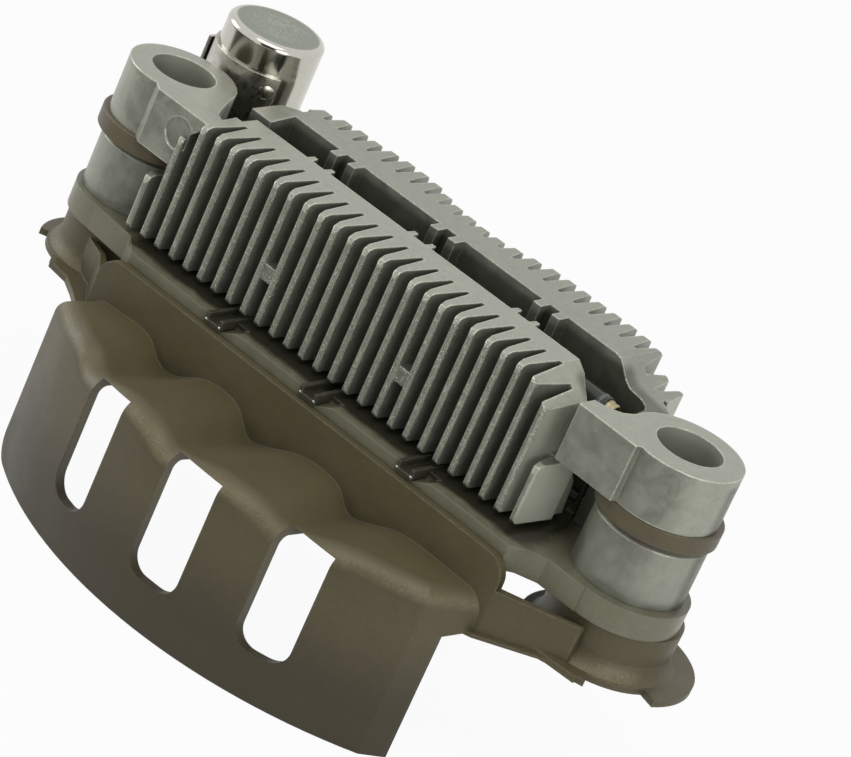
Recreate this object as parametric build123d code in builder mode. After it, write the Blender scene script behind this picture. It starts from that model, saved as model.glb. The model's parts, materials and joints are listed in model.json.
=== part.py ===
from build123d import *
from math import sqrt
import os

# Alternator rectifier: two finned heat sinks with rectifier diodes in the slot
# between them, a moulded terminal board, an air shroud and a suppression capacitor.
# The origin is midway between the two mounting bores, in the plane of the earthed
# ears' seats. +X runs along the sinks, +Y towards the positive sink, +Z up the bores.

os.makedirs("parts", exist_ok=True)

# Mounting stack at each end, in millimetres
hole_spacing = 117.0
bore_r = 5.8
neg_ears = (((-58.1, -0.5), 9.7), ((58.5, -0.8), 10.0))
neg_ear_height = 10.4
bush_flange_r = 10.7
bush_flange_height = 3.4
bush_wall = 1.4
bush_clearance = 0.1
pos_eyes = (((-58.3, 0.2), 9.5), ((58.5, 0.0), 9.9))
pos_eye_chamfer = 1.0
board_ears = (((-57.8, -0.2), 10.6), ((58.7, -0.6), 11.3))
board_thickness = 4.7
collars = (((-57.9, 0.8), 10.4), ((59.0, 0.4), 11.4))
collar_flare = 1.4
collar_flare_height = 2.8
collar_height = 7.8
flanges = (((-57.9, 0.8), 13.6), ((60.2, 0.8), 15.4))
flange_notches = ((212.0, 258.0), (298.0, 342.0))
flange_thickness = 1.2
edge_round = 0.6

# Heat sinks
sink_height = 24.0
sink_standoff = 1.0
neg_inner_y = 1.6
neg_root_y = -3.1
neg_tip_y = -12.4
pos_inner_y = 12.0
pos_root_y = 18.0
fin_pitch = 3.477
fin_tip = 1.1
fin_root = 2.9
fin_bevel = 0.3
fin_nose_r = 1.6
fin_foot_r = 0.7
fin_embed = 0.6
neg_fin_count = 27
neg_fin_first_x = -48.85
pos_fin_count = 25
pos_fin_first_x = -42.0
stack_clearance = 0.8

# Phase grooves between the sinks, and the rectifier diodes on each side of them
groove_pitch = 23.85
groove_middle_x = -4.2
groove_width = 2.4
rib_thickness = 1.7
neg_rib_depth = 3.1
pos_rib_depth = 2.8
rib_height = 20.0
diode_width = 8.4
diode_height = 8.6
diode_base = 1.0
diode_body = 2.2
diode_side_gap = 0.6
diode_centre_z = -15.5
lead_width = 2.0
lead_thickness = 0.6

# Terminal board and its conductors
board_front_y = -16.6
board_rear_y = 23.0
board_neck_y = -12.1
terminal_pitch = 22.4
terminal_middle_x = 0.35
terminal_width = 3.8
terminal_metal = 0.7
terminal_lip = 1.9
terminal_depth = 1.5
ramp_width = 3.2
ramp_length = 3.4
post_width = 2.0
post_y = 6.0
post_depth = 1.9
post_top_z = -8.0
bus_y = 9.3
bus_width = 1.6
screw_r = 1.5
screw_head_r = 2.7
screw_head_height = 1.5
boss_r = 2.6

# Exciter diodes
exciter_r = 2.0
exciter_length = 8.6
exciter_cap_r = 1.5
exciter_cap_length = 1.6
exciter_lead_r = 0.45

# Air shroud
wall_gap = 0.2
wall_thickness = 1.6
wall_top_drop = 2.0
wall_left_x = -46.5
wall_right_x = 47.6
wall_corner_r = 4.0
skirt_centre_x = -1.2
skirt_front_y = -41.2
skirt_r = 72.2
skirt_thickness = 2.0
skirt_left_x = -47.3
skirt_right_x = 42.0
skirt_height = 36.8
skirt_corner_r = 4.0
roof_thickness = 2.0
fold_r = 3.6
end_wall_height = 14.6
end_wall_rise = 3.4
windows = ((-25.9, -17.0), (-4.0, 6.6), (18.3, 27.8))
window_top_drop = 5.6
window_top_slope = 0.47
window_reach = 6.5
window_bottom_drop = 28.7
window_corner_r = 3.6
web_drop = 1.6
web_lip = 0.8
web_thickness = 1.1

# Suppression capacitor
can_x = -57.35
can_y = 19.8
can_r = 8.9
can_top_z = 8.0
can_length = 26.0
can_round = 1.1
seal_depth = 0.9
strap_thickness = 0.6
strap_top_z = 2.4
strap_bottom_z = -9.6
pin_r = 0.6
eyelet_r = 2.2
rivet_r = 1.9
rivet_shank_r = 1.2
rivet_depth = 4.0
rivet_place = (-49.2, 9.7)
rivet_head_height = 1.0
rivet_head_round = 0.7
eyelet_height = 0.8

# Levels, from the seat plane down
ear_bottom_z = -neg_ear_height
eye_top_z = ear_bottom_z - bush_flange_height
board_top_z = -sink_height - sink_standoff
pos_eye_height = eye_top_z - board_top_z
board_bottom_z = board_top_z - board_thickness
collar_bottom_z = board_bottom_z - collar_height
flange_bottom_z = collar_bottom_z - flange_thickness
hole_x = hole_spacing / 2
stack_r = bush_flange_r + stack_clearance
sleeve_r = bore_r + bush_wall
wall_front_y = board_front_y - wall_gap - wall_thickness
wall_top_z = board_top_z - wall_top_drop
end_wall_bottom_z = board_bottom_z - end_wall_height
skirt_bottom_z = board_bottom_z - skirt_height
skirt_centre_y = skirt_front_y + skirt_r
window_top_z = board_bottom_z - window_top_drop
window_bottom_z = board_bottom_z - window_bottom_drop
web_top_z = board_bottom_z - web_drop
web_foot_z = end_wall_bottom_z + end_wall_rise - 0.6
groove_xs = [groove_middle_x + i * groove_pitch for i in (-1, 0, 1)]
terminal_xs = [terminal_middle_x + i * terminal_pitch for i in (-1, 0, 1)]
neg_fin_xs = [neg_fin_first_x + i * fin_pitch for i in range(neg_fin_count)]
pos_fin_xs = [pos_fin_first_x + i * fin_pitch for i in range(pos_fin_count)]


def level(z):
    """A horizontal plane at height z."""
    return Plane.XY.offset(z)


def prism(points, bottom, top):
    """A straight prism on a plan outline."""
    with BuildPart() as block:
        with BuildSketch(level(bottom)):
            with BuildLine():
                Polyline(*points, close=True)
            make_face()
        extrude(amount=top - bottom)
    return block.part


def fin_row(xs, root_y, tip_y, top, bottom):
    """Tapered fins at xs, with a rounded nose at the top of each tip."""
    out = 1 if tip_y > root_y else -1
    inside_y = root_y - out * fin_embed
    with BuildPart() as row:
        with BuildSketch(level(bottom)):
            for x in xs:
                with BuildLine():
                    Polyline(
                        (x - fin_root / 2, inside_y),
                        (x - fin_tip / 2, tip_y - out * fin_bevel),
                        (x - fin_tip / 2 + fin_bevel, tip_y),
                        (x + fin_tip / 2 - fin_bevel, tip_y),
                        (x + fin_tip / 2, tip_y - out * fin_bevel),
                        (x + fin_root / 2, inside_y),
                        close=True,
                    )
                make_face()
        extrude(amount=top - bottom)
        with BuildSketch(Plane.YZ.offset(min(xs) - fin_root)):
            with BuildLine():
                Polyline(
                    (inside_y, bottom), (tip_y - out * fin_foot_r, bottom), (tip_y, bottom + fin_foot_r),
                    (tip_y, top - fin_nose_r), (tip_y - out * fin_nose_r * 0.3, top - fin_nose_r * 0.3),
                    (tip_y - out * fin_nose_r, top), (inside_y, top), close=True,
                )
            make_face()
        extrude(amount=max(xs) - min(xs) + 2 * fin_root, mode=Mode.INTERSECT)
    return row.part


# Negative heat sink: the fins, first those that run the full height
short_tops = {0: -13.6, 1: -4.0, 26: -12.8}
full_xs = [x for i, x in enumerate(neg_fin_xs) if i not in short_tops]
neg_fins = [fin_row(full_xs, neg_root_y, neg_tip_y, 0, -sink_height)]
for index, top in short_tops.items():
    neg_fins.append(fin_row([neg_fin_xs[index]], neg_root_y, neg_tip_y, top, -sink_height))

bay_left_x = -42.0
bay_right_x = 38.7
arm_front_y = -11.4
neg_wall_outline = [
    (bay_left_x, neg_root_y), (bay_left_x, neg_inner_y), (35.0, neg_inner_y), (36.8, 0.4),
    (bay_right_x, -0.5), (bay_right_x, neg_root_y),
]
neg_left_arm = [
    (-41.9, neg_root_y), (-41.9, arm_front_y), (-54.0, arm_front_y), (-55.6, -10.3),
    (-hole_x, -1.0), (-49.9, 4.3), (-46.0, -3.6), (-44.6, -5.8), (-43.2, -6.6), (bay_left_x, -5.6),
]
neg_right_arm = [
    (bay_right_x - 1.0, neg_root_y), (bay_right_x, neg_root_y), (39.6, -4.7), (42.6, -9.6),
    (43.4, arm_front_y), (55.6, arm_front_y - 0.2), (56.0, -10.4), (hole_x, -1.0), (48.9, -1.4),
    (47.6, -4.8), (45.8, -6.4), (43.6, -7.1), (42.8, -7.0), (41.1, -4.4), (bay_right_x, -0.5),
]
# the top dips in a valley between the fins and the right arm
neg_valley = [(33.0, 1.0), (33.0, 0.0), (bay_right_x, -4.2), (43.3, 0.0), (43.3, 1.0)]
# the slot beside the left arm ends under a slope
arm_slot_plan = [(-44.9, -12.0), (-42.4, -12.0), (-43.2, -4.4), (-44.1, -4.4)]
arm_slot_face = [(-46.0, -12.0), (-46.0, -4.9), (-41.5, -0.4), (-41.5, -12.0)]
neg_left_foot = [(-50.0, -7.2), (-41.9, -7.2), (-41.9, neg_inner_y), (-50.0, neg_inner_y)]
neg_right_foot = [
    (-6.0, -12.9), (-4.4, -12.6), (-2.3, -14.2), (0.6, -17.7), (neg_inner_y, -sink_height), (-6.0, -sink_height),
]
neg_blocks = [
    prism(neg_wall_outline, -sink_height, 0),
    prism(neg_left_arm, ear_bottom_z, 0),
    prism(neg_right_arm, ear_bottom_z, 0),
    prism(neg_left_foot, -sink_height, ear_bottom_z),
]
neg_screw_xs = (-35.0, 27.0)
neg_screw_y = (neg_inner_y + neg_root_y) / 2

with BuildPart() as negative_heat_sink:
    for block in neg_blocks:
        add(block)
    with BuildSketch(level(ear_bottom_z)):
        for centre, r in neg_ears:
            with Locations(centre):
                Circle(r)
    extrude(amount=neg_ear_height)
    for fins in neg_fins:
        add(fins)
    with BuildSketch(Plane.YZ.offset(bay_right_x - 1.0)):
        with BuildLine():
            Polyline(*neg_right_foot, close=True)
        make_face()
    extrude(amount=neg_fin_xs[-1] + fin_tip / 2 - bay_right_x + 1.0)
    with BuildSketch(Plane.XZ.offset(-neg_inner_y - 1.0)):
        with BuildLine():
            Polyline(*neg_valley, close=True)
        make_face()
    extrude(amount=30, mode=Mode.SUBTRACT)
    with BuildPart(mode=Mode.SUBTRACT):
        with BuildSketch(level(ear_bottom_z - 1.0)):
            with BuildLine():
                Polyline(*arm_slot_plan, close=True)
            make_face()
        extrude(amount=neg_ear_height)
        with BuildSketch(Plane.XZ):
            with BuildLine():
                Polyline(*arm_slot_face, close=True)
            make_face()
        extrude(amount=20, mode=Mode.INTERSECT)
    # ribs that guide the phase posts
    with BuildSketch(level(-rib_height)):
        for x in groove_xs:
            for side in (-1, 1):
                rib_x = x + side * (groove_width + rib_thickness) / 2
                with BuildLine():
                    Polyline(
                        (rib_x - rib_thickness / 2, neg_inner_y - fin_embed),
                        (rib_x - rib_thickness / 4, neg_inner_y + neg_rib_depth),
                        (rib_x + rib_thickness / 4, neg_inner_y + neg_rib_depth),
                        (rib_x + rib_thickness / 2, neg_inner_y - fin_embed),
                        close=True,
                    )
                make_face()
    extrude(amount=rib_height - edge_round)
    # ejector pads that bridge two pairs of fins
    with BuildSketch(level(-16.6)):
        with Locations((neg_fin_xs[8] + fin_pitch / 2, -9.0), (neg_fin_xs[17] + fin_pitch / 2, -9.0)):
            Rectangle(fin_pitch, 5.6)
    extrude(amount=2.8)
    # bosses that stand on the terminal board
    with BuildSketch(level(board_top_z)):
        with Locations(*[(x, neg_screw_y) for x in neg_screw_xs]):
            Circle(boss_r - 0.3)
    extrude(amount=-sink_height - board_top_z)
    # room for the insulating bushes and the positive eyes
    with BuildSketch(level(-sink_height)):
        with Locations((-hole_x, 0), (hole_x, 0)):
            Circle(stack_r)
    extrude(amount=sink_height + ear_bottom_z, mode=Mode.SUBTRACT)
    with BuildSketch(level(ear_bottom_z)):
        with Locations((-hole_x, 0), (hole_x, 0)):
            Circle(bore_r)
    extrude(amount=neg_ear_height, mode=Mode.SUBTRACT)
    with BuildSketch(level(board_top_z)):
        with Locations(*[(x, neg_screw_y) for x in neg_screw_xs]):
            Circle(screw_r)
    extrude(amount=8, mode=Mode.SUBTRACT)
    # ejector mark on the left arm
    with BuildSketch(Plane.XZ.offset(-arm_front_y - 0.25)):
        with Locations((-46.9, -4.6)):
            Circle(2.9)
    extrude(amount=0.5, mode=Mode.SUBTRACT)

# Positive heat sink
tip_ys = [
    22.5, 24.1, 24.6, 24.6, 25.3, 25.8, 25.7, 25.3, 24.0, 22.9, 22.5, 22.1, 22.2,
    23.2, 24.3, 25.4, 25.6, 25.6, 25.6, 25.6, 25.6, 25.2, 24.1, 23.4, 23.4,
]
pos_fins = [fin_row([x], pos_root_y, tip, 0, -sink_height) for x, tip in zip(pos_fin_xs, tip_ys)]
pos_wall_outline = [
    (-42.9, pos_inner_y), (41.0, pos_inner_y), (42.4, 11.4), (43.4, 10.0), (43.8, 7.0), (43.4, 3.8),
    (47.4, 3.2), (47.4, 11.0), (45.6, 14.6), (42.2, 16.6), (42.2, pos_root_y), (-42.9, pos_root_y),
]
# the top steps down beyond the third pocket
pos_step = [
    (33.2, 1.0), (33.2, 0.0), (34.4, -0.3), (35.4, -1.2), (36.9, -2.9), (38.2, -3.7), (42.0, -4.2),
    (50.0, -4.8), (50.0, 1.0),
]
pos_left_bar = [(-45.6, 4.3), (-41.0, 4.3), (-41.9, pos_inner_y), (-41.9, 15.0), (-43.4, 15.0), (-45.6, 12.2)]
pos_left_arm = [
    (-hole_x, 0), (-50.0, 3.4), (-45.6, 4.3), (-41.0, 4.3), (-41.9, pos_inner_y), (-41.9, 15.0),
    (-46.0, 14.0), (-49.5, 12.6), (-56.0, 9.5),
]
pos_right_arm = [
    (hole_x, 0), (50.0, 3.4), (43.4, 3.8), (43.8, 7.0), (43.4, 10.0), (42.4, 14.0), (45.6, 14.6), (50.0, 12.6),
    (56.0, 9.5),
]
pos_blocks = [
    prism(pos_wall_outline, -sink_height, 0),
    prism(pos_left_bar, -sink_height, 0),
    prism(pos_left_arm, board_top_z, eye_top_z),
    prism(pos_right_arm, board_top_z, eye_top_z),
]
pos_screw_xs = (-34.0, 28.0)
pos_screw_y = (pos_inner_y + pos_root_y) / 2


def eye(centre, r):
    """A round eye of the positive sink, chamfered at the top."""
    with BuildPart() as block:
        with BuildSketch(level(board_top_z)):
            with Locations(centre):
                Circle(r)
        extrude(amount=pos_eye_height)
        chamfer(block.faces().sort_by(Axis.Z)[-1].edges(), pos_eye_chamfer)
    return block.part


with BuildPart() as positive_heat_sink:
    for block in pos_blocks:
        add(block)
    for fins in pos_fins:
        add(fins)
    with BuildSketch(Plane.XZ):
        with BuildLine():
            Polyline(*pos_step, close=True)
        make_face()
    extrude(amount=-40, mode=Mode.SUBTRACT)
    # ribs that guide the phase posts
    with BuildSketch(level(-rib_height)):
        for x in groove_xs:
            with Locations(
                (x - (groove_width + rib_thickness) / 2, pos_inner_y - pos_rib_depth / 2),
                (x + (groove_width + rib_thickness) / 2, pos_inner_y - pos_rib_depth / 2),
            ):
                Rectangle(rib_thickness, pos_rib_depth)
    extrude(amount=rib_height)
    with BuildSketch(level(board_top_z)):
        with Locations(*[(x, pos_screw_y) for x in pos_screw_xs]):
            Circle(boss_r)
    extrude(amount=-sink_height - board_top_z)
    # room for the insulating bushes and the earthed ears
    with BuildSketch(level(eye_top_z)):
        with Locations((-hole_x, 0), (hole_x, 0)):
            Circle(stack_r)
    extrude(amount=-eye_top_z, mode=Mode.SUBTRACT)
    for centre, r in pos_eyes:
        add(eye(centre, r))
    with BuildSketch(level(board_top_z)):
        with Locations((-hole_x, 0), (hole_x, 0)):
            Circle(sleeve_r + bush_clearance)
    extrude(amount=pos_eye_height, mode=Mode.SUBTRACT)
    with BuildSketch(level(board_top_z)):
        with Locations(*[(x, pos_screw_y) for x in pos_screw_xs]):
            Circle(screw_r)
    extrude(amount=8, mode=Mode.SUBTRACT)
    with BuildSketch(level(eye_top_z)):
        with Locations(rivet_place):
            Circle(rivet_shank_r)
    extrude(amount=-rivet_depth, mode=Mode.SUBTRACT)

# Insulating bushes between the earthed ears and the positive eyes
bushes = {}
for name, x in (("left", -hole_x), ("right", hole_x)):
    with BuildPart() as bush:
        with BuildSketch(level(eye_top_z)):
            with Locations((x, 0)):
                Circle(bush_flange_r)
        extrude(amount=bush_flange_height)
        outer = bush.edges().filter_by(GeomType.CIRCLE)
        chamfer(outer, edge_round / 2)
        with BuildSketch(level(board_top_z)):
            with Locations((x, 0)):
                Circle(sleeve_r)
        extrude(amount=pos_eye_height)
        with BuildSketch(level(board_top_z)):
            with Locations((x, 0)):
                Circle(bore_r)
        extrude(amount=pos_eye_height + bush_flange_height, mode=Mode.SUBTRACT)
    bushes[name] = bush

# Terminal board, with the outlines of the terminals that are let into its top
terminal_outlines = []
for x, groove_x in zip(terminal_xs, groove_xs):
    terminal_outlines.append([
        (x - terminal_width / 2, board_front_y - 0.6), (x + terminal_width / 2, board_front_y - 0.6),
        (x + terminal_width / 2, -1.0), (groove_x + post_width / 2, post_y - 1.0),
        (groove_x + post_width / 2, post_y + post_depth), (groove_x - post_width / 2, post_y + post_depth),
        (groove_x - post_width / 2, post_y - 1.0), (x - terminal_width / 2, -1.0),
    ])
board_outline = [
    (-57.5, -10.8), (-47.5, board_neck_y), (-43.0, board_front_y), (45.4, board_front_y),
    (47.0, -14.2), (50.5, board_neck_y), (hole_x, board_neck_y), (hole_x, 10.5), (46.0, 12.0),
    (42.0, board_rear_y), (-44.0, board_rear_y), (can_x, can_y + 5.0), (can_x - 5.0, can_y), (-hole_x, 10.5),
]
with BuildPart() as terminal_board:
    with BuildSketch(level(board_bottom_z)) as board_plan:
        with BuildLine():
            Polyline(*board_outline, close=True)
        make_face()
        for centre, r in board_ears:
            with Locations(centre):
                Circle(r)
    extrude(amount=board_thickness)
    # clearance slot under the diodes
    with BuildSketch(level(board_bottom_z)):
        with Locations((groove_middle_x - groove_pitch / 2, 5.2), (groove_middle_x + groove_pitch / 2, 5.2)):
            SlotOverall(14.0, 3.0)
    extrude(amount=board_thickness, mode=Mode.SUBTRACT)
    # a channel in the top for each phase terminal, with a ramp beside its mouth
    for outline in terminal_outlines:
        add(prism(outline, board_top_z - terminal_depth, board_top_z), mode=Mode.SUBTRACT)
    with BuildSketch(Plane.XZ.offset(-board_front_y - ramp_length)):
        for x in terminal_xs:
            with BuildLine():
                Polyline(
                    (x, board_top_z),
                    (x, board_top_z - terminal_depth),
                    (x + terminal_width / 2, board_top_z - terminal_depth),
                    (x + terminal_width / 2 + ramp_width, board_top_z),
                    close=True,
                )
            make_face()
    extrude(amount=ramp_length + 1.0, mode=Mode.SUBTRACT)
    with BuildSketch(level(board_bottom_z)):
        with Locations((-hole_x, 0), (hole_x, 0)):
            Circle(bore_r)
        with Locations(*[(x, neg_screw_y) for x in neg_screw_xs], *[(x, pos_screw_y) for x in pos_screw_xs]):
            Circle(screw_r)
        with Locations((can_x, can_y)):
            Circle(pin_r)
    extrude(amount=board_thickness, mode=Mode.SUBTRACT)

# Phase terminals: a channel at the board's front edge, a strip and a post in the slot
phase_terminals = []
channel_z = board_top_z - terminal_depth
for x, groove_x, outline in zip(terminal_xs, groove_xs, terminal_outlines):
    with BuildPart() as terminal:
        add(prism(outline, channel_z, channel_z + terminal_metal))
        with BuildSketch(level(channel_z)):
            for side in (-1, 1):
                with Locations((x + side * (terminal_width - terminal_metal) / 2, board_front_y + 4.0)):
                    Rectangle(terminal_metal, 9.2)
        extrude(amount=terminal_lip)
        with BuildSketch(level(channel_z)):
            with Locations((groove_x, post_y + post_depth / 2)):
                Rectangle(post_width, post_depth)
        extrude(amount=post_top_z - channel_z)
    phase_terminals.append(terminal)

# Rectifier diodes: a copper base on the sink, a resin body and a lead to the post
diodes = {}
for sink, face_y, out in (("negative", neg_inner_y, 1), ("positive", pos_inner_y, -1)):
    body_y = face_y + out * (diode_base + diode_body)
    lead_y = post_y + lead_thickness / 2 if out > 0 else post_y + post_depth - lead_thickness / 2
    number = 0
    for groove_x in groove_xs:
        for side in (-1, 1):
            number += 1
            near_x = groove_x + side * (groove_width / 2 + rib_thickness + diode_side_gap)
            centre_x = near_x + side * diode_width / 2
            post_face_x = groove_x + side * post_width / 2
            with BuildPart() as diode:
                with BuildSketch(Plane.XZ.offset(-face_y)):
                    with Locations((centre_x, diode_centre_z)):
                        Rectangle(diode_width, diode_height)
                extrude(amount=-out * diode_base)
                with BuildSketch(Plane.XZ.offset(-face_y - out * diode_base)):
                    with Locations((centre_x, diode_centre_z)):
                        RectangleRounded(diode_width - 1.0, diode_height - 1.0, 1.0)
                extrude(amount=-out * diode_body)
                with BuildSketch(level(diode_centre_z - lead_width / 2)):
                    with BuildLine():
                        Polyline(
                            (centre_x - lead_width / 2, body_y - out * 0.3),
                            (centre_x + lead_width / 2, body_y - out * 0.3),
                            (centre_x + lead_width / 2, lead_y + out * lead_thickness / 2),
                            (centre_x - lead_width / 2, lead_y + out * lead_thickness / 2),
                            close=True,
                        )
                    make_face()
                    with Locations(((centre_x + post_face_x) / 2, lead_y)):
                        Rectangle(abs(centre_x - post_face_x), lead_thickness)
                extrude(amount=lead_width)
            diodes[f"{sink}_diode_{number}"] = diode

# Exciter bus: a strip on the board behind the posts, with a blade at the rear edge
bus_left_x = -14.6
bus_right_x = 42.6
bus_end_y = 4.4
blade_x = 17.0
blade_width = 5.0
blade_end_y = 29.0
with BuildPart() as exciter_bus:
    with BuildSketch(level(board_top_z)):
        with BuildLine():
            Polyline(
                (bus_left_x, bus_y), (bus_right_x - bus_width, bus_y), (bus_right_x - bus_width, bus_end_y),
                (bus_right_x, bus_end_y), (bus_right_x, bus_y + bus_width),
                (blade_x + blade_width / 2, bus_y + bus_width), (blade_x + blade_width / 2, blade_end_y - 1.2),
                (blade_x + blade_width / 2 - 1.2, blade_end_y), (blade_x - blade_width / 2 + 1.2, blade_end_y),
                (blade_x - blade_width / 2, blade_end_y - 1.2), (blade_x - blade_width / 2, bus_y + bus_width),
                (bus_left_x, bus_y + bus_width), close=True,
            )
        make_face()
        with Locations((blade_x, blade_end_y - 2.6)):
            Circle(0.8, mode=Mode.SUBTRACT)
    extrude(amount=terminal_metal)

# Exciter diodes: axial bodies with a lead to the phase post and one to the bus
bus_middle_y = bus_y + bus_width / 2
exciter_y = post_y + post_depth / 2
exciter_places = [
    (groove_xs[0] + post_width / 2, -21.5, exciter_y, -21.2, bus_middle_y),
    (groove_xs[1] + post_width / 2, 2.4, exciter_y, -21.2, bus_middle_y),
    (groove_xs[2] + post_width / 2 - 1.0, 29.2, 5.4, -6.0, 5.4),
]
exciter_diodes = []
for start_x, body_x, y, z, foot_y in exciter_places:
    end_x = body_x + exciter_length + 2 * exciter_cap_length
    bend_x = end_x + 0.9
    with BuildPart() as exciter:
        with BuildSketch(Plane.YZ.offset(body_x)):
            with Locations((y, z)):
                Circle(exciter_cap_r)
        extrude(amount=end_x - body_x)
        with BuildSketch(Plane.YZ.offset(body_x + exciter_cap_length)):
            with Locations((y, z)):
                Circle(exciter_r)
        extrude(amount=exciter_length)
        with BuildSketch(Plane.YZ.offset(start_x)):
            with Locations((y, z)):
                Circle(exciter_lead_r)
        extrude(amount=body_x - start_x)
        with BuildLine():
            lead = Polyline(
                (end_x - 0.2, y, z), (bend_x, y, z), (bend_x, foot_y, z - 1.5),
                (bend_x, foot_y, board_top_z + terminal_metal),
            )
        with BuildSketch(Plane(lead @ 0, z_dir=lead % 0)):
            Circle(exciter_lead_r)
        sweep(transition=Transition.RIGHT)
    exciter_diodes.append(exciter)

# Air shroud: the roof's scalloped line where it meets the front wall, and its gentle
# line above the skirt, as (x, inner drop, outer drop) below the board's underside
roof_line = [
    (-60.0, 4.5, 6.9), (-31.5, 4.5, 5.5), (-27.6, 8.5, 6.2), (-24.0, 8.5, 5.6),
    (-17.5, 4.3, 4.5), (-10.4, 4.3, 5.2), (-6.3, 9.1, 6.2), (-3.5, 8.7, 5.7),
    (5.5, 4.4, 4.3), (13.2, 4.4, 5.2), (16.8, 8.5, 6.2), (19.5, 8.2, 5.7),
    (28.2, 4.3, 4.5), (60.0, 4.3, 7.2),
]
roof_inner_y = wall_front_y + 4.4
roof_outer_y = skirt_front_y - 2.8
roof_clear_z = board_bottom_z + 0.6


def eased(points):
    """Points for a spline that follows a polyline but rounds its corners."""
    soft = [points[0]]
    for (x0, z0), (x1, z1) in zip(points, points[1:]):
        soft += [(x0 + (x1 - x0) * part, z0 + (z1 - z0) * part) for part in (0.25, 0.75)]
    return soft + [points[-1]]


roof_reach_x = 60.0
roof_reach_z = 10


def roof_space(drop):
    """Everything above the roof's top, lowered by drop."""
    reach_z = board_bottom_z + roof_reach_z
    with BuildPart() as space:
        for y, which in ((roof_inner_y, 1), (roof_outer_y, 2)):
            with BuildSketch(Plane.XZ.offset(-y)):
                with BuildLine():
                    top = Spline(*eased([(row[0], board_bottom_z - row[which] - drop) for row in roof_line]))
                    Polyline(top @ 1, (roof_reach_x, reach_z), (-roof_reach_x, reach_z), top @ 0)
                make_face()
        loft(ruled=True)
    return space.part


def skirt_y(x, r):
    """Where the skirt's arc of radius r lies at x."""
    return skirt_centre_y - sqrt(r**2 - (x - skirt_centre_x) ** 2)


def is_fold(edge):
    """Whether an edge runs round the roof, in front of the wall."""
    box = edge.bounding_box()
    at_roof_height = box.min.Z > board_bottom_z - 15 and box.max.Z < roof_clear_z - 1
    return at_roof_height and edge.center().Y < wall_front_y - 0.3


def hood(inset, drop):
    """The roof and all that is under it, inset from the outside."""
    r = skirt_r - inset
    left = skirt_left_x + inset
    right = skirt_right_x - inset
    left_end = (left, skirt_y(left, r))
    right_end = (right, skirt_y(right, r))
    back_y = wall_front_y + inset
    with BuildPart() as body:
        with BuildSketch(level(skirt_bottom_z)):
            with BuildLine():
                ThreePointArc(left_end, (skirt_centre_x, skirt_centre_y - r), right_end)
                Polyline(
                    right_end, (wall_right_x - 1.0 - inset, back_y), (wall_left_x + 1.0 + inset, back_y),
                    left_end,
                )
            make_face()
        extrude(amount=roof_clear_z - skirt_bottom_z)
        add(roof_space(drop), mode=Mode.SUBTRACT)
        fillet(body.edges().filter_by(is_fold), fold_r - drop)
    return body.part


def window(left, right):
    """The cutter for a window in the skirt, with rounded feet and a top that slopes inwards."""
    face_y = skirt_y((left + right) / 2, skirt_r)
    back_y = face_y + window_reach
    back_top_z = window_top_z - window_top_slope * window_reach
    front_y = face_y - 2 * window_reach
    front_top_z = window_top_z + window_top_slope * 2 * window_reach
    with BuildPart() as cutter:
        with BuildSketch(Plane.XZ.offset(-back_y)) as face:
            with Locations(((left + right) / 2, (front_top_z + window_bottom_z) / 2)):
                Rectangle(right - left, front_top_z - window_bottom_z)
            fillet(face.vertices().group_by(Axis.Y)[0], window_corner_r)
        extrude(amount=back_y - front_y)
        with BuildSketch(Plane.YZ.offset(left)):
            with BuildLine():
                Polyline(
                    (front_y, window_bottom_z), (front_y, front_top_z), (back_y, back_top_z),
                    (back_y, window_bottom_z), close=True,
                )
            make_face()
        extrude(amount=right - left, mode=Mode.INTERSECT)
    return cutter.part


left_web = [
    (wall_left_x + 2.0, wall_front_y), (wall_left_x, wall_front_y + 0.4), (-51.7, -12.3), (-57.3, -9.4),
    (-57.3, -9.4 + web_thickness), (-51.3, -12.3 + web_thickness), (wall_left_x + 1.0, wall_front_y + 2.0),
    (wall_left_x + 2.0, wall_front_y + 2.0),
]


def right_web(lip, top_left_z, top_right_z):
    """The plate from the front wall to the right collar, whose top and foot both rise to the right."""
    plan = [
        (wall_right_x - 2.0, wall_front_y - lip), (wall_right_x, wall_front_y - lip), (61.6, -13.2 - lip),
        (61.6, -13.2 + web_thickness), (wall_right_x, wall_front_y + 2.0), (wall_right_x - 2.0, wall_front_y + 2.0),
    ]
    face = [
        (wall_right_x - 2.0, top_left_z), (61.6, top_right_z), (61.6, flange_bottom_z),
        (58.0, flange_bottom_z), (wall_right_x - 2.0, web_foot_z),
    ]
    with BuildPart() as plate:
        with BuildSketch(level(skirt_bottom_z)):
            with BuildLine():
                Polyline(*plan, close=True)
            make_face()
        extrude(amount=board_bottom_z - skirt_bottom_z)
        with BuildSketch(Plane.XZ.offset(30)):
            with BuildLine():
                Polyline(*face, close=True)
            make_face()
        extrude(amount=-30, mode=Mode.INTERSECT)
    return plate.part


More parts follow.
